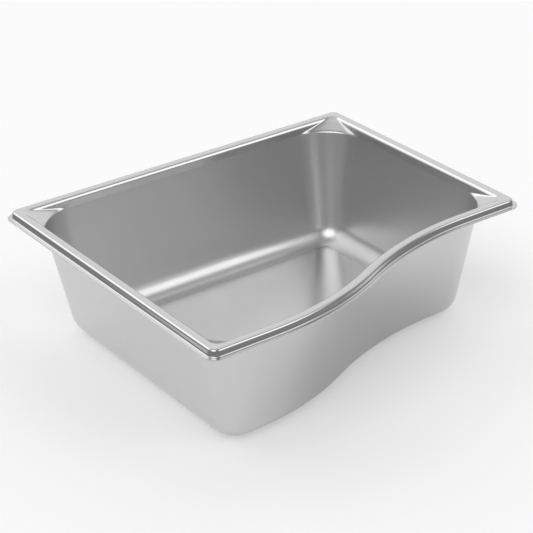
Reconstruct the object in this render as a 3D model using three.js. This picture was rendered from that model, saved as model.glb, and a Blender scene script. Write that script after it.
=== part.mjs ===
// Half-size food pan with one S-shaped long side, deep drawn from a single stainless sheet.
// Millimetres, +Z up. The origin is under the middle of the overall rectangle, at floor level.
// X runs along the straight back from the wide end (-X) to the narrow end (+X); the back faces +Y.
import * as THREE from 'three';

// Overall size, measured over the outer lip
const LENGTH = 324;
const WIDE_END = 289.2;
const NARROW_END = 237.8;
const HEIGHT = 100.5;
const SHEET = 0.8;

// The S-shaped side: two equal arcs that meet at X = 0, with straight ends
const HALF_RUN = 107.6;
const HALF_STEP = (WIDE_END - NARROW_END) / 2;
const S_RADIUS = (HALF_RUN ** 2 + HALF_STEP ** 2) / (2 * HALF_STEP);
const S_ANGLE = Math.asin(HALF_RUN / S_RADIUS);

// Rim, from the outside in: lip, leaning riser, rounded shoulder, flat land
const LIP_WIDTH = 3.9;
const LIP_CORNER = 10.4;
const LIP_EDGE = 0.2;
const RISER_HEIGHT = 5.4;
const RISER_LEAN = 0.6;
const SHOULDER = 1.8;
const LAND_CORNER = 9;
const EDGE_RADIUS = 4;

// Wall: its outer face, carried up to the land, is inset WALL_TOP and leans in by DRAFT per mm
const WALL_TOP = 11.4;
const WALL_CORNER = 40;
const DRAFT = 0.2;
const FLOOR_RADIUS = 17.5;

// Corner facets: between these depths the corner opens from the land's radius to the wall's
const FACET_TOP = 1;
const FACET_FOOT = 7.5;

// Facets of each arc
const ARC_DIVISIONS = 5;
const BEND_STEPS = 4;

const LEAN = Math.atan(DRAFT);
const TURN = Math.PI / 2 - LEAN;
const LAND_END = wallInset(EDGE_RADIUS, true) - EDGE_RADIUS / Math.cos(LEAN);

/** One outline of the pan, inset from the overall outline, counter-clockwise from above. */
function outline(inset, corner) {
  const quarter = Math.PI / 2;
  const left = -LENGTH / 2 + inset + corner;
  const right = LENGTH / 2 - inset - corner;
  const back = WIDE_END / 2 - inset - corner;
  const wideFront = -WIDE_END / 2;
  const narrowFront = wideFront + 2 * HALF_STEP;
  const path = new THREE.Path();
  path.absarc(left, wideFront + inset + corner, corner, -2 * quarter, -quarter);
  path.absarc(-HALF_RUN, wideFront + S_RADIUS, S_RADIUS - inset, -quarter, S_ANGLE - quarter);
  path.absarc(HALF_RUN, narrowFront - S_RADIUS, S_RADIUS + inset, S_ANGLE + quarter, quarter, true);
  path.absarc(right, narrowFront + inset + corner, corner, -quarter, 0);
  path.absarc(right, back, corner, 0, quarter);
  path.absarc(left, back, corner, quarter, 2 * quarter);
  return path.getPoints(ARC_DIVISIONS);
}

/** Inset of the drafted wall at a depth below the land, on its inner or outer face. */
function wallInset(depth, isInner) {
  return WALL_TOP + DRAFT * depth + (isInner ? SHEET / Math.cos(LEAN) : 0);
}

/** Corner radius that opens over the facet from the land's sharp corner to the wall's round one. */
function wallCorner(inset, depth, isInner) {
  const start = FACET_TOP + (isInner ? 0 : SHEET);
  const share = THREE.MathUtils.clamp((depth - start) / (FACET_FOOT - FACET_TOP), 0, 1);
  const reach = THREE.MathUtils.lerp(LAND_END + LAND_CORNER, WALL_TOP + WALL_CORNER, share);
  return reach - inset;
}

/** Points of a section round a bend, from one angle to another; angle 0 is straight above. */
function bend(centre, radius, from, to) {
  const points = [];
  for (let step = 0; step <= BEND_STEPS; step += 1) {
    const angle = THREE.MathUtils.lerp(from, to, step / BEND_STEPS);
    points.push({
      inset: centre.inset + radius * Math.sin(angle),
      depth: centre.depth - radius * Math.cos(angle),
    });
  }
  return points;
}

/** Section of the wall on one face of the sheet, from the land's edge down to the floor. */
function wallSection(isInner) {
  const edge = { inset: LAND_END, depth: EDGE_RADIUS };
  const foot = FACET_FOOT + (isInner ? 0 : SHEET);
  const floorDepth = HEIGHT - SHEET - FLOOR_RADIUS;
  const floorInset = wallInset(floorDepth, true) + FLOOR_RADIUS / Math.cos(LEAN);
  const floor = { inset: floorInset, depth: floorDepth };
  const section = [
    ...bend(edge, EDGE_RADIUS - (isInner ? 0 : SHEET), 0, TURN),
    { inset: wallInset(foot, isInner), depth: foot },
    ...bend(floor, FLOOR_RADIUS + (isInner ? 0 : SHEET), TURN - Math.PI, -Math.PI),
  ];
  return section.map(({ inset, depth }) => ({
    inset,
    depth,
    corner: wallCorner(inset, depth, isInner),
  }));
}

/** Section of the rim on one face of the sheet, from the lip's edge in to the land. */
function rimSection(isUpper) {
  const lipDepth = RISER_HEIGHT + (isUpper ? 0 : SHEET);
  const foot = LIP_WIDTH - RISER_LEAN + (isUpper ? 0 : SHEET);
  const shoulder = { inset: LIP_WIDTH + SHOULDER, depth: SHOULDER };
  const section = [
    { inset: 0, depth: lipDepth + (isUpper ? LIP_EDGE : -LIP_EDGE) },
    { inset: LIP_EDGE, depth: lipDepth },
    { inset: foot, depth: lipDepth },
    ...bend(shoulder, SHOULDER - (isUpper ? 0 : SHEET), -Math.PI / 2, 0),
  ];
  return section.map(({ inset, depth }) => ({ inset, depth, corner: LIP_CORNER - inset }));
}

/** Closed skin through a run of sections, with the first and the last filled. */
function skin(rings) {
  const outlines = rings.map(({ inset, corner }) => outline(inset, corner));
  const count = outlines[0].length;
  const positions = [];
  const indices = [];
  outlines.forEach((points, level) => {
    points.forEach(({ x, y }) => positions.push(x, y, HEIGHT - rings[level].depth));
  });
  for (let a = 0; a < (outlines.length - 1) * count; a += count) {
    for (let i = 0; i < count; i += 1) {
      const next = (i + 1) % count;
      const b = a + count;
      indices.push(a + i, a + next, b + next);
      indices.push(a + i, b + next, b + i);
    }
  }
  const last = (outlines.length - 1) * count;
  THREE.ShapeUtils.triangulateShape(outlines[0], []).forEach(([i, j, k]) => {
    indices.push(i, k, j);
  });
  THREE.ShapeUtils.triangulateShape(outlines.at(-1), []).forEach(([i, j, k]) => {
    indices.push(last + i, last + j, last + k);
  });
  const geometry = new THREE.BufferGeometry();
  geometry.setAttribute('position', new THREE.Float32BufferAttribute(positions, 3));
  geometry.setIndex(indices);
  geometry.computeVertexNormals();
  return geometry;
}

const satinSteel = new THREE.MeshStandardMaterial({ color: 0xc4c4c2, roughness: 0.34, metalness: 1 });

const shell = new THREE.Mesh(
  skin([
    ...wallSection(false).reverse(),
    ...rimSection(false).reverse(),
    ...rimSection(true),
    ...wallSection(true),
  ]),
  satinSteel,
);
shell.name = 'pan_shell';

const pan = new THREE.Group();
pan.add(shell);

export default pan;
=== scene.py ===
"""Half-size food pan with one S-shaped long side: sheet-metal model, finishes, stage and camera.

The pan is one deep-drawn stainless sheet. Its upper face is drawn as a run of levels from the lip's
edge, over the riser, shoulder and land, down the wall and into the floor; a Solidify modifier then
gives the sheet its thickness. Lengths are written in millimetres and turned into metres once.
"""

from __future__ import annotations

import logging
import math
from dataclasses import dataclass, field
from enum import Enum

import bmesh
import bpy
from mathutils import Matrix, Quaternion, Vector


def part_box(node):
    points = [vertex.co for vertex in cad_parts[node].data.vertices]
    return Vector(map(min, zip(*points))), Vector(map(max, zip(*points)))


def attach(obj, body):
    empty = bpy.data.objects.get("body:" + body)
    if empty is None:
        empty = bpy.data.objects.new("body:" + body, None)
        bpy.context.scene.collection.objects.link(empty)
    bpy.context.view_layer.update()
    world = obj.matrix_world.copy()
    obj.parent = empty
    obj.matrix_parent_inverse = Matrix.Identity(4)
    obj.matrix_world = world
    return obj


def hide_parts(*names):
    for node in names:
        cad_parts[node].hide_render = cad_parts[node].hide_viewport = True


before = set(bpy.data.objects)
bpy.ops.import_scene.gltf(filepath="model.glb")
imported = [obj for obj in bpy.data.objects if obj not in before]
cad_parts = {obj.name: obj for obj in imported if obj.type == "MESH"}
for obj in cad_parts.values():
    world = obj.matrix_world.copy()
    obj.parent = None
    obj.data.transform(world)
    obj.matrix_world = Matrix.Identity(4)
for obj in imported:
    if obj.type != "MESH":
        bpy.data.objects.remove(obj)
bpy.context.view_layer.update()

LOG = logging.getLogger("pan")
MM = 0.001
QUARTER = math.pi / 2
FULL_TURN = 2 * math.pi

# The middle range of a noise texture, where nearly all of its values lie
NOISE_LOW = 0.35
NOISE_HIGH = 0.65


def linear(hex_colour: str) -> tuple[float, float, float, float]:
    """Turns an sRGB colour into the linear one that shaders take.

    Args:
        hex_colour: The colour, as "#RRGGBB".

    Returns:
        Linear red, green and blue, and an alpha of 1.
    """
    channels = [int(hex_colour.lstrip("#")[i : i + 2], 16) / 255 for i in (0, 2, 4)]
    turned = [c / 12.92 if c <= 0.04045 else ((c + 0.055) / 1.055) ** 2.4 for c in channels]
    return (turned[0], turned[1], turned[2], 1.0)


def clear_tree(owner: bpy.types.Material | bpy.types.World) -> bpy.types.NodeTree:
    """Turns on the nodes of a material or a world.

    Args:
        owner: The material or world.

    Returns:
        Its node tree, emptied.
    """
    owner.use_nodes = True
    owner.node_tree.nodes.clear()
    return owner.node_tree


def add_node(
    tree: bpy.types.NodeTree,
    kind: str,
    settings: dict | None = None,
    inputs: dict | None = None,
) -> bpy.types.Node:
    """Adds a node.

    Args:
        tree: The node tree that takes it.
        kind: The node's type name.
        settings: Values for the node's own properties.
        inputs: Socket name or index to a constant, or to the output socket that feeds it.

    Returns:
        The new node.
    """
    node = tree.nodes.new(kind)
    for name, value in (settings or {}).items():
        setattr(node, name, value)
    for name, value in (inputs or {}).items():
        if isinstance(value, bpy.types.NodeSocket):
            tree.links.new(value, node.inputs[name])
        else:
            node.inputs[name].default_value = value
    return node


def spread(
    tree: bpy.types.NodeTree, value: bpy.types.NodeSocket, low: float, high: float
) -> bpy.types.NodeSocket:
    """Spreads a noise texture's middle range over another range.

    Args:
        tree: The node tree that takes the node.
        value: The noise texture's output.
        low: The result at the bottom of the middle range, and below it.
        high: The result at the top of the middle range, and above it.

    Returns:
        The socket with the result.
    """
    inputs = {
        "Value": value,
        "From Min": NOISE_LOW,
        "From Max": NOISE_HIGH,
        "To Min": low,
        "To Max": high,
    }
    return add_node(tree, "ShaderNodeMapRange", {}, inputs).outputs["Result"]


def matte(tree: bpy.types.NodeTree, colour: str) -> bpy.types.NodeSocket:
    """Adds a plain diffuse surface.

    Args:
        tree: The node tree that takes it.
        colour: Its sRGB colour.

    Returns:
        The socket with the shader.
    """
    return add_node(tree, "ShaderNodeBsdfDiffuse", {}, {"Color": linear(colour)}).outputs["BSDF"]


def add_object(name: str, bm: bmesh.types.BMesh) -> bpy.types.Object:
    """Makes a mesh object and links it to the scene.

    Args:
        name: The name of the object and of its mesh.
        bm: The drawn geometry, which is freed.

    Returns:
        The new object.
    """
    mesh = bpy.data.meshes.new(name)
    bm.to_mesh(mesh)
    bm.free()
    piece = bpy.data.objects.new(name, mesh)
    bpy.context.scene.collection.objects.link(piece)
    LOG.info("%s: %d faces drawn", name, len(mesh.polygons))
    return piece


class Area(Enum):
    """Areas of the sheet with a finish of their own, in the order of the material slots."""

    RIM = 0
    EDGE = 1
    WALL = 2
    FLOOR = 3


@dataclass(frozen=True)
class SteelFinish:
    """18/8 stainless sheet, cold rolled, deep drawn and lightly buffed.

    It is a fine satin metal: it mirrors large light and dark areas with soft edges, and the drawing
    leaves shallow lines along the pull that break up the edges of the reflections. Lengths are in
    millimetres: grain is the pattern's size along each axis, grain_depth its height and cloud the
    size of the larger patches of wear.
    """

    name: str
    colour: str
    roughness: float
    roughness_spread: float
    grain: tuple[float, float, float]
    grain_depth: float
    cloud: float
    cloud_spread: float = 0.02
    grain_detail: float = 1.0
    cloud_detail: float = 2.0

    def make(self) -> bpy.types.Material:
        """Makes the material.

        Returns:
            The new material.
        """
        material = bpy.data.materials.new(self.name)
        tree = clear_tree(material)
        place = add_node(tree, "ShaderNodeTexCoord").outputs["Object"]
        scale = tuple(1 / (size * MM) for size in self.grain)
        drawn = add_node(
            tree, "ShaderNodeMapping", {}, {"Vector": place, "Scale": scale}
        ).outputs["Vector"]
        grain = self.noise(tree, drawn, 1.0, self.grain_detail)
        clouds = self.noise(tree, place, 1 / (self.cloud * MM), self.cloud_detail)
        low, high = self.roughness - self.roughness_spread, self.roughness + self.roughness_spread
        rough = add_node(
            tree,
            "ShaderNodeMath",
            {"operation": "ADD"},
            {
                0: spread(tree, grain, low, high),
                1: spread(tree, clouds, -self.cloud_spread, self.cloud_spread),
            },
        ).outputs["Value"]
        bump = add_node(
            tree,
            "ShaderNodeBump",
            {},
            {"Strength": 1.0, "Distance": self.grain_depth * MM, "Height": grain},
        ).outputs["Normal"]
        steel = {
            "Base Color": linear(self.colour),
            "Metallic": 1.0,
            "Roughness": rough,
            "Normal": bump,
        }
        shader = add_node(tree, "ShaderNodeBsdfPrincipled", {}, steel).outputs["BSDF"]
        add_node(tree, "ShaderNodeOutputMaterial", {}, {"Surface": shader})
        return material

    def noise(
        self,
        tree: bpy.types.NodeTree,
        place: bpy.types.NodeSocket,
        scale: float,
        detail: float,
    ) -> bpy.types.NodeSocket:
        """Adds a noise texture.

        Args:
            tree: The node tree that takes it.
            place: The socket with the coordinates.
            scale: The pattern's repeats in one unit of the coordinates.
            detail: Octaves of finer noise.

        Returns:
            The socket with the noise value.
        """
        inputs = {"Vector": place, "Scale": scale, "Detail": detail}
        return add_node(tree, "ShaderNodeTexNoise", {}, inputs).outputs["Fac"]


# The wall's roughness stays above 0.28: a little lower, denoised renders show false relief.
FINISHES: dict[Area, SteelFinish] = {
    # Bright rim, rubbed by stacking: narrow sharp highlights
    Area.RIM: SteelFinish(
        name="rim_steel",
        colour="#CCCCCC",
        roughness=0.16,
        roughness_spread=0.01,
        grain=(3, 3, 3),
        grain_depth=0.00005,
        cloud=40,
    ),
    # Land's edge and corner facets, ironed by the die: crisp white creases
    Area.EDGE: SteelFinish(
        name="edge_steel",
        colour="#D0D0D0",
        roughness=0.205,
        roughness_spread=0.01,
        grain=(3, 3, 3),
        grain_depth=0.00005,
        cloud=40,
    ),
    # Wall and fillet, with drawing lines up and down: soft bands with faintly streaked edges
    Area.WALL: SteelFinish(
        name="wall_steel",
        colour="#D3D3D3",
        roughness=0.325,
        roughness_spread=0.02,
        grain=(2.5, 2.5, 80),
        grain_depth=0.02,
        cloud=60,
    ),
    # Floor, hardly stretched: even satin
    Area.FLOOR: SteelFinish(
        name="floor_steel",
        colour="#CFCFCF",
        roughness=0.235,
        roughness_spread=0.01,
        grain=(4, 4, 4),
        grain_depth=0.00005,
        cloud=60,
    ),
}


@dataclass(frozen=True)
class Level:
    """One level of the sheet's upper face, in millimetres.

    inset is measured in from the overall outline, depth down from the land, and corner is the
    radius of the level's four corners. area is the finish of the band that ends at this level.
    """

    inset: float
    depth: float
    corner: float
    area: Area


@dataclass(frozen=True)
class Turn:
    """One arc of an outline, in millimetres and radians."""

    centre: Vector
    radius: float
    start: float
    sweep: float
    steps: int

    def first_point(self) -> Vector:
        """Point at which the arc starts."""
        return self.centre + self.radius * Vector((math.cos(self.start), math.sin(self.start), 0))


@dataclass(frozen=True)
class Plan:
    """The pan seen from above, in millimetres: a rectangle whose front side steps back along an S.

    The S is two equal arcs that meet halfway along the pan; each is tangent to a straight end.
    """

    length: float
    wide_end: float
    height: float
    half_step: float = 25.7
    half_run: float = 107.6
    corner_steps: int = 24
    curve_steps: int = 36
    straight_steps: int = 10
    shortest_run: float = 1e-3

    def turns(self, level: Level) -> list[Turn]:
        """Finds the six arcs of a level's outline.

        Args:
            level: The level to draw.

        Returns:
            The arcs, counter-clockwise from the near corner at the wide end.
        """
        inset, corner = level.inset, level.corner
        radius = (self.half_run**2 + self.half_step**2) / (2 * self.half_step)
        angle = math.asin(self.half_run / radius)
        end = self.length / 2 - inset - corner
        back = self.wide_end / 2 - inset - corner
        wide = -self.wide_end / 2
        narrow = wide + 2 * self.half_step
        height = self.height - level.depth

        def turn(x: float, y: float, size: float, start: float, sweep: float, steps: int) -> Turn:
            """One arc at this level's height."""
            return Turn(Vector((x, y, height)), size, start, sweep, steps)

        near = wide + inset + corner
        far = narrow + inset + corner
        corners, curves = self.corner_steps, self.curve_steps
        return [
            turn(-end, near, corner, -2 * QUARTER, QUARTER, corners),
            turn(-self.half_run, wide + radius, radius - inset, -QUARTER, angle, curves),
            turn(self.half_run, narrow - radius, radius + inset, QUARTER + angle, -angle, curves),
            turn(end, far, corner, -QUARTER, QUARTER, corners),
            turn(end, back, corner, 0, QUARTER, corners),
            turn(-end, back, corner, QUARTER, QUARTER, corners),
        ]

    def trace(self, level: Level) -> bpy.types.Mesh:
        """Draws a level's outline.

        Args:
            level: The level to draw.

        Returns:
            A mesh with the outline as a closed loop of edges.
        """
        bm = bmesh.new()
        turns = self.turns(level)
        start = bmesh.ops.create_vert(bm, co=turns[0].first_point())["vert"][0]
        last = start
        for turn in turns:
            last = self.run_to(bm, last, turn.first_point())
            last = bmesh.ops.spin(
                bm,
                geom=[last],
                cent=turn.centre,
                axis=(0, 0, 1),
                angle=turn.sweep,
                steps=turn.steps,
            )["geom_last"][0]
        last = self.run_to(bm, last, start.co)
        bmesh.ops.weld_verts(bm, targetmap={last: start})
        mesh = bpy.data.meshes.new("outline")
        bm.to_mesh(mesh)
        bm.free()
        return mesh

    def run_to(
        self, bm: bmesh.types.BMesh, last: bmesh.types.BMVert, goal: Vector
    ) -> bmesh.types.BMVert:
        """Carries a chain of edges straight on to a point.

        Args:
            bm: The geometry that holds the chain.
            last: The chain's last vertex.
            goal: The point to reach.

        Returns:
            The vertex at the goal, which is the last one if that is already there.
        """
        gap = goal - last.co
        if gap.length < self.shortest_run:
            return last
        return bmesh.ops.spin(
            bm,
            geom=[last],
            cent=last.co,
            axis=(0, 0, 1),
            dvec=gap / self.straight_steps,
            angle=0,
            steps=self.straight_steps,
        )["geom_last"][0]


def eased(value: float, ease: float) -> float:
    """Ramp from 0 to 1 with rounded ends.

    Args:
        value: Place along the ramp, which runs from 0 to 1.
        ease: How far each end is rounded, to either side.

    Returns:
        The ramp's height there.
    """
    if value > 0.5:
        return 1 - eased(1 - value, ease)
    if value < -ease:
        return 0.0
    return value if value > ease else (value + ease) ** 2 / (4 * ease)


@dataclass(frozen=True)
class SheetSection:
    """Section of the sheet's upper face, in millimetres, from the lip's edge to the floor.

    crown is the small rise that keeps neighbouring levels of a flat from lying in one plane.
    """

    height: float
    sheet: float = 0.8
    lip_corner: float = 10.4
    lip_width: float = 3.9
    lip_band: float = 1.0
    riser_height: float = 5.4
    riser_lean: float = math.radians(9.5)
    foot_radius: float = 1.1
    foot_steps: int = 6
    shoulder: float = 2.3
    shoulder_steps: int = 10
    land_corner: float = 9.0
    edge_radius: float = 4.0
    edge_steps: int = 24
    wall_top: float = 11.4
    wall_corner: float = 40.0
    wall_depths: tuple[float, ...] = (10, 12, 16, 24, 36, 50, 62, 72, 80)
    draft: float = 0.2
    floor_radius: float = 17.5
    fillet_steps: int = 20
    facet_top: float = 1.0
    facet_foot: float = 7.5
    facet_ease: float = 0.17
    facet_pitch: float = 0.25
    facet_levels: int = 23
    polish_depth: float = 7.9
    crown: float = 0.01

    def bend(
        self, centre: tuple[float, float], radius: float, start: float, end: float, steps: int
    ) -> list[tuple[float, float]]:
        """Finds the points round a bend.

        Args:
            centre: Inset and depth of its centre.
            radius: Its radius.
            start: The angle of the first point; 0 is straight above the centre.
            end: The angle of the last point.
            steps: The number of steps between them.

        Returns:
            Inset and depth of each point.
        """
        angles = [start + (end - start) * step / steps for step in range(steps + 1)]
        return [
            (centre[0] + radius * math.sin(a), centre[1] - radius * math.cos(a)) for a in angles
        ]

    def lean(self) -> float:
        """Angle of the wall from upright."""
        return math.atan(self.draft)

    def wall_inset(self, depth: float) -> float:
        """Inset of the wall's inner face at a depth below the land."""
        return self.wall_top + self.draft * depth + self.sheet / math.cos(self.lean())

    def land_end(self) -> float:
        """Inset at which the land starts to bend down into the wall."""
        return self.wall_inset(self.edge_radius) - self.edge_radius / math.cos(self.lean())

    def rim(self) -> list[Level]:
        """Finds the levels of the lip, riser and shoulder.

        Returns:
            The levels, from the lip's edge in.
        """
        lean, foot, bow = self.riser_lean, self.foot_radius, self.shoulder
        top = (self.lip_width + bow, bow)
        start = (top[0] - bow * math.cos(lean), top[1] - bow * math.sin(lean))
        drop = self.riser_height - foot - start[1]
        corner = start[0] - drop * math.tan(lean) - foot / math.cos(lean)
        heel = (corner, self.riser_height - foot)
        points = [
            (0.0, self.riser_height + 2 * self.crown),
            (self.lip_band, self.riser_height + self.crown),
            *self.bend(heel, foot, math.pi, QUARTER + lean, self.foot_steps),
            *self.bend(top, bow, lean - QUARTER, 0.0, self.shoulder_steps),
        ]
        return [Level(i, d, self.lip_corner - i, Area.RIM) for i, d in points]

    def reach(self, depth: float) -> float:
        """Finds how far in a corner's centre lies, which grows down the corner facet.

        Args:
            depth: Depth below the land.

        Returns:
            Distance of the centre from the outline.
        """
        share = (depth - self.facet_top) / (self.facet_foot - self.facet_top)
        first = self.land_end() + self.land_corner
        last = self.wall_top + self.wall_corner
        return first + (last - first) * eased(share, self.facet_ease)

    def wall(self) -> list[Level]:
        """Finds the levels of the land's edge, the facets, the wall and the fillet.

        Returns:
            The levels, from the land's edge down to the floor.
        """
        lean = self.lean()
        turn = QUARTER - lean
        edge = (self.land_end(), self.edge_radius + self.crown)
        depth = self.height - self.sheet - self.floor_radius
        foot = (self.wall_inset(depth) + self.floor_radius / math.cos(lean), depth)
        rounded = self.bend(edge, self.edge_radius, 0.0, turn, self.edge_steps)
        facet = [
            rounded[-1][1] + self.facet_pitch * step for step in range(1, self.facet_levels + 1)
        ]
        points = [
            *rounded,
            *[(self.wall_inset(d), float(d)) for d in (*facet, *self.wall_depths)],
            *self.bend(foot, self.floor_radius, turn - math.pi, -math.pi, self.fillet_steps),
        ]
        return [
            Level(i, d, self.reach(d) - i, Area.EDGE if d < self.polish_depth else Area.WALL)
            for i, d in points
        ]

    def levels(self) -> list[Level]:
        """Every level, from the lip's edge to the edge of the flat floor."""
        return [*self.rim(), *self.wall()]


@dataclass
class PanSkin:
    """The drawn sheet as one piece, with its rounded cut edge; lengths in millimetres."""

    name: str = "pan_skin"
    node: str = "pan_shell"
    slot: str = "satin_stainless"
    sheet: float = 0.8
    floor_border: float = 1.5
    edge_round: float = 0.22
    edge_segments: int = 3
    edge_angle: float = math.radians(60)
    finishes: dict[Area, SteelFinish] = field(default_factory=lambda: FINISHES)

    def build(self) -> bpy.types.Object:
        """Draws the levels, joins them, and gives the sheet its thickness.

        Returns:
            The finished piece.
        """
        low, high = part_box(self.node)
        size = (high - low) / MM
        bm = self.draw(Plan(size.x, size.y, size.z), SheetSection(size.z, self.sheet))
        piece = add_object(self.name, bm)
        for area in Area:
            piece.data.materials.append(self.finishes[area].make())
        self.thicken(piece)
        LOG.info("%s: %s mm sheet on the frame's %s", self.name, self.sheet, self.node)
        return piece

    def draw(self, plan: Plan, section: SheetSection) -> bmesh.types.BMesh:
        """Draws the sheet's upper face.

        Args:
            plan: The pan from above.
            section: The sheet from the side.

        Returns:
            The face in metres, with its normals up and a material index on each band.
        """
        bm = bmesh.new()
        loop: list[bmesh.types.BMEdge] = []
        for level in section.levels():
            drawn = len(bm.edges)
            outline = plan.trace(level)
            bm.from_mesh(outline)
            bpy.data.meshes.remove(outline)
            bm.edges.ensure_lookup_table()
            onward = bm.edges[drawn:]
            if loop:
                for face in bmesh.ops.bridge_loops(bm, edges=loop + onward)["faces"]:
                    face.material_index = level.area.value
            loop = onward
        middle = bmesh.ops.contextual_create(bm, geom=loop)["faces"]
        border = bmesh.ops.inset_region(bm, faces=middle, thickness=self.floor_border)["faces"]
        for face in middle + border:
            face.material_index = Area.FLOOR.value
        bmesh.ops.scale(bm, vec=(MM, MM, MM), verts=bm.verts)
        bmesh.ops.recalc_face_normals(bm, faces=bm.faces)
        middle[0].normal_update()
        if middle[0].normal.z < 0:
            bmesh.ops.reverse_faces(bm, faces=bm.faces)
        for face in bm.faces:
            face.smooth = True
        return bm

    def thicken(self, piece: bpy.types.Object) -> None:
        """Adds the sheet's thickness below its upper face, and rounds the cut edge.

        Args:
            piece: The piece that has only its upper face.
        """
        solid = piece.modifiers.new("thickness", "SOLIDIFY")
        solid.thickness = self.sheet * MM
        solid.offset = -1
        solid.use_even_offset = True
        bevel = piece.modifiers.new("cut_edge", "BEVEL")
        bevel.width = self.edge_round * MM
        bevel.segments = self.edge_segments
        bevel.limit_method = "ANGLE"
        bevel.angle_limit = self.edge_angle

    def place(self, piece: bpy.types.Object) -> None:
        """Puts the piece on the frame in place of the CAD shell.

        Args:
            piece: The finished piece.
        """
        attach(piece, "root")
        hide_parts(self.node)


@dataclass(frozen=True)
class SoftBox:
    """One large soft light of the studio, seen as a patch of the surround.

    toward points from the pan to the patch; it is full inside one angle from there and gone past
    the other, both in degrees.
    """

    name: str
    toward: tuple[float, float, float]
    full: float
    gone: float
    radiance: float

    def glow(
        self, tree: bpy.types.NodeTree, look: bpy.types.NodeSocket
    ) -> bpy.types.NodeSocket:
        """Adds the patch's nodes.

        Args:
            tree: The world's node tree.
            look: The socket with the direction looked along.

        Returns:
            The socket with the patch's radiance.
        """
        aim = Vector(self.toward).normalized()
        along = add_node(
            tree, "ShaderNodeVectorMath", {"operation": "DOT_PRODUCT"}, {0: look, 1: aim}
        ).outputs["Value"]
        inputs = {
            "Value": along,
            "From Min": math.cos(math.radians(self.gone)),
            "From Max": math.cos(math.radians(self.full)),
            "To Min": 0.0,
            "To Max": self.radiance,
        }
        smooth = {"interpolation_type": "SMOOTHSTEP"}
        return add_node(tree, "ShaderNodeMapRange", smooth, inputs).outputs["Result"]


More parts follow.
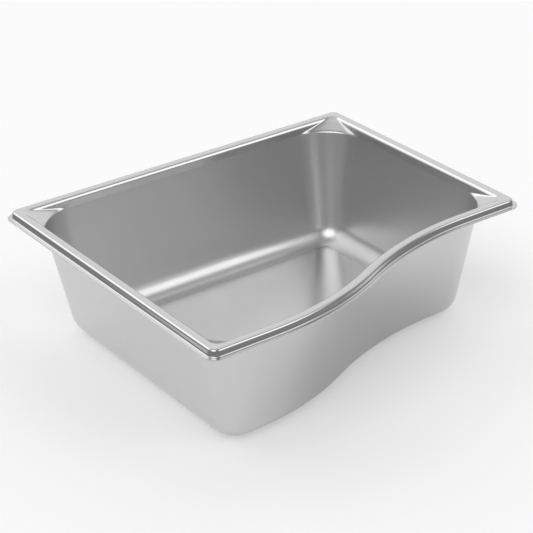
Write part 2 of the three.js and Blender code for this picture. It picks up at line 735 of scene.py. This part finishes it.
@dataclass(frozen=True)
class Stage:
    """Pale light table, and the studio surround that the metal mirrors; lengths in metres.

    The dark reflection ring and the shadow patch lie on the table, and only reflections see them:
    the ring is a painted dark reflection on the rim's riser, the patch a painted shadow at the foot
    of the S wall. backdrop is the brightness behind the table, which only the camera sees; room is
    what lights the pan.
    """

    floor_colour: str = "#E0E0E0"
    floor_glow: float = 0.30
    floor_radius: float = 3.0
    floor_segments: int = 96
    # Painted dark reflection: a grey ring seen only in reflections, standing in for the dark side
    # of the studio that the rim's riser mirrors
    dark_reflection_colour: str = "#989898"
    dark_reflection_inner: float = 0.43
    dark_reflection_height: float = 0.001
    # Painted shadow: a soft dark patch seen only in reflections, standing in for the shade on the
    # table at the foot of the S wall
    shadow_patch_middle: tuple[float, float, float] = (0.030, -0.100, 0.0004)
    shadow_patch_reach: tuple[float, float] = (0.155, 0.085)
    shadow_patch_colour: str = "#3C3C3C"
    shadow_patch_density: float = 0.31
    shadow_patch_core: float = 0.35
    shadow_patch_segments: int = 64
    room: float = 0.30
    backdrop: float = 0.88
    boxes: tuple[SoftBox, ...] = (
        SoftBox("back_wall", (0.571, 0.821, 0.30), full=38, gone=75, radiance=0.66),
        SoftBox("right_front_box", (0.50, -0.62, 0.61), full=8, gone=25, radiance=1.5),
        SoftBox("back_left_box", (-0.40, 0.72, 0.62), full=14, gone=27, radiance=0.95),
        SoftBox("overhead_box", (-0.52, -0.27, 0.81), full=14, gone=31, radiance=1.7),
    )

    def floor(self) -> bpy.types.Object:
        """Makes the pale translucent table, lit softly from below and above.

        Returns:
            The table.
        """
        bm = bmesh.new()
        bmesh.ops.create_circle(
            bm, cap_ends=True, radius=self.floor_radius, segments=self.floor_segments
        )
        piece = add_object("stage_floor", bm)
        material = bpy.data.materials.new("pale_floor")
        tree = clear_tree(material)
        lit = matte(tree, self.floor_colour)
        glow = add_node(
            tree, "ShaderNodeEmission", {}, {"Strength": self.floor_glow}
        ).outputs["Emission"]
        shader = add_node(tree, "ShaderNodeAddShader", {}, {0: lit, 1: glow}).outputs["Shader"]
        add_node(tree, "ShaderNodeOutputMaterial", {}, {"Surface": shader})
        piece.data.materials.append(material)
        return piece

    def flag(self) -> bpy.types.Object:
        """Makes the painted dark reflection: a grey ring far out on the table, seen only in
        reflections, that darkens the rim's riser.

        Returns:
            The ring.
        """
        bm = bmesh.new()
        ends = [
            bmesh.ops.create_vert(bm, co=(reach, 0, self.dark_reflection_height))["vert"][0]
            for reach in (self.dark_reflection_inner, self.floor_radius)
        ]
        edge = bmesh.ops.contextual_create(bm, geom=ends)["edges"]
        bmesh.ops.spin(
            bm,
            geom=ends + edge,
            cent=(0, 0, 0),
            axis=(0, 0, 1),
            angle=FULL_TURN,
            steps=self.floor_segments,
            use_merge=True,
        )
        piece = add_object("painted_dark_reflection", bm)
        self.hide(piece)
        material = bpy.data.materials.new("painted_reflection_grey")
        tree = clear_tree(material)
        shader = matte(tree, self.dark_reflection_colour)
        add_node(tree, "ShaderNodeOutputMaterial", {}, {"Surface": shader})
        piece.data.materials.append(material)
        return piece

    def reflected_shadow_patch(self) -> bpy.types.Object:
        """Makes the painted shadow: a soft dark patch before the S, seen only in reflections, that
        darkens the foot of the wall there as the shade on the table would.

        Returns:
            The shadow patch.
        """
        bm = bmesh.new()
        bmesh.ops.create_circle(bm, cap_ends=True, radius=1.0, segments=self.shadow_patch_segments)
        bmesh.ops.scale(bm, vec=(*self.shadow_patch_reach, 1.0), verts=bm.verts)
        bmesh.ops.translate(bm, vec=self.shadow_patch_middle, verts=bm.verts)
        piece = add_object("painted_shadow_patch", bm)
        self.hide(piece)
        material = bpy.data.materials.new("painted_shadow_grey")
        tree = clear_tree(material)
        density = self.shadow_patch_fade(tree)
        clear = add_node(tree, "ShaderNodeBsdfTransparent").outputs["BSDF"]
        dark = matte(tree, self.shadow_patch_colour)
        shader = add_node(
            tree, "ShaderNodeMixShader", {}, {0: density, 1: clear, 2: dark}
        ).outputs["Shader"]
        add_node(tree, "ShaderNodeOutputMaterial", {}, {"Surface": shader})
        piece.data.materials.append(material)
        return piece

    def shadow_patch_fade(self, tree: bpy.types.NodeTree) -> bpy.types.NodeSocket:
        """Adds the nodes that fade the painted shadow out to its edge.

        Args:
            tree: The card material's node tree.

        Returns:
            The socket with the painted shadow's density.
        """
        place = add_node(tree, "ShaderNodeTexCoord").outputs["Object"]
        apart = add_node(
            tree, "ShaderNodeVectorMath", {"operation": "SUBTRACT"}, {0: place, 1: self.shadow_patch_middle}
        ).outputs["Vector"]
        share = add_node(
            tree,
            "ShaderNodeVectorMath",
            {"operation": "DIVIDE"},
            {0: apart, 1: (*self.shadow_patch_reach, 1.0)},
        ).outputs["Vector"]
        away = add_node(
            tree, "ShaderNodeVectorMath", {"operation": "LENGTH"}, {0: share}
        ).outputs["Value"]
        inputs = {
            "Value": away,
            "From Min": 1.0,
            "From Max": self.shadow_patch_core,
            "To Max": self.shadow_patch_density,
        }
        smooth = {"interpolation_type": "SMOOTHSTEP"}
        return add_node(tree, "ShaderNodeMapRange", smooth, inputs).outputs["Result"]

    def hide(self, piece: bpy.types.Object) -> None:
        """Leaves a piece visible to reflections alone."""
        piece.visible_camera = piece.visible_diffuse = piece.visible_shadow = False

    def world(self) -> None:
        """Makes the studio surround: an even room with brighter patches, and a pale backdrop."""
        world = bpy.data.worlds.new("studio")
        bpy.context.scene.world = world
        tree = clear_tree(world)
        look = add_node(tree, "ShaderNodeTexCoord").outputs["Generated"]
        total: float | bpy.types.NodeSocket = self.room
        for box in self.boxes:
            patch = box.glow(tree, look)
            total = add_node(
                tree, "ShaderNodeMath", {"operation": "ADD"}, {0: total, 1: patch}
            ).outputs["Value"]
        seen = add_node(tree, "ShaderNodeLightPath").outputs["Is Camera Ray"]
        # Sockets 2 and 3 are the mix node's two plain numbers
        shown = add_node(
            tree,
            "ShaderNodeMix",
            {"data_type": "FLOAT"},
            {"Factor": seen, 2: total, 3: self.backdrop},
        ).outputs["Result"]
        background = add_node(
            tree, "ShaderNodeBackground", {}, {"Color": shown, "Strength": 1.0}
        ).outputs["Background"]
        add_node(tree, "ShaderNodeOutputWorld", {}, {"Surface": background})


@dataclass(frozen=True)
class ViewPoint:
    """Long-lens camera that looks down over the near corner at the wide end.

    Angles are in degrees; target, distance, lens and sensor in millimetres; clip in metres.
    """

    azimuth: float = -34.817
    elevation: float = 27.181
    roll: float = -1.852
    target: tuple[float, float, float] = (-8.8, -1.8, 60.5)
    distance: float = 1442.2
    lens: float = 126.9
    sensor: float = 36.0
    shift_x: float = -0.0158
    shift_y: float = 0.0003
    clip: tuple[float, float] = (0.05, 50.0)

    def make(self) -> bpy.types.Object:
        """Makes the scene's camera.

        Returns:
            The camera.
        """
        data = bpy.data.cameras.new("camera")
        data.lens = self.lens
        data.sensor_width = self.sensor
        data.shift_x, data.shift_y = self.shift_x, self.shift_y
        data.clip_start, data.clip_end = self.clip
        camera = bpy.data.objects.new("camera", data)
        bpy.context.scene.collection.objects.link(camera)
        turn, rise = math.radians(self.azimuth), math.radians(self.elevation)
        back = Vector(
            (math.sin(turn) * math.cos(rise), -math.cos(turn) * math.cos(rise), math.sin(rise))
        )
        camera.location = (Vector(self.target) + back * self.distance) * MM
        camera.rotation_mode = "QUATERNION"
        upright = back.to_track_quat("Z", "Y")
        camera.rotation_quaternion = upright @ Quaternion((0, 0, 1), math.radians(self.roll))
        bpy.context.scene.camera = camera
        LOG.info("%s: %s mm lens at %s mm", camera.name, self.lens, self.distance)
        return camera


def main() -> None:
    """Builds the pan, the stage and the camera."""
    logging.basicConfig(level=logging.INFO, format="%(message)s")
    bpy.context.scene.view_settings.view_transform = "Standard"
    skin = PanSkin()
    skin.place(skin.build())
    stage = Stage()
    stage.floor()
    stage.flag()
    stage.reflected_shadow_patch()
    stage.world()
    ViewPoint().make()


if __name__ == "__main__":
    main()
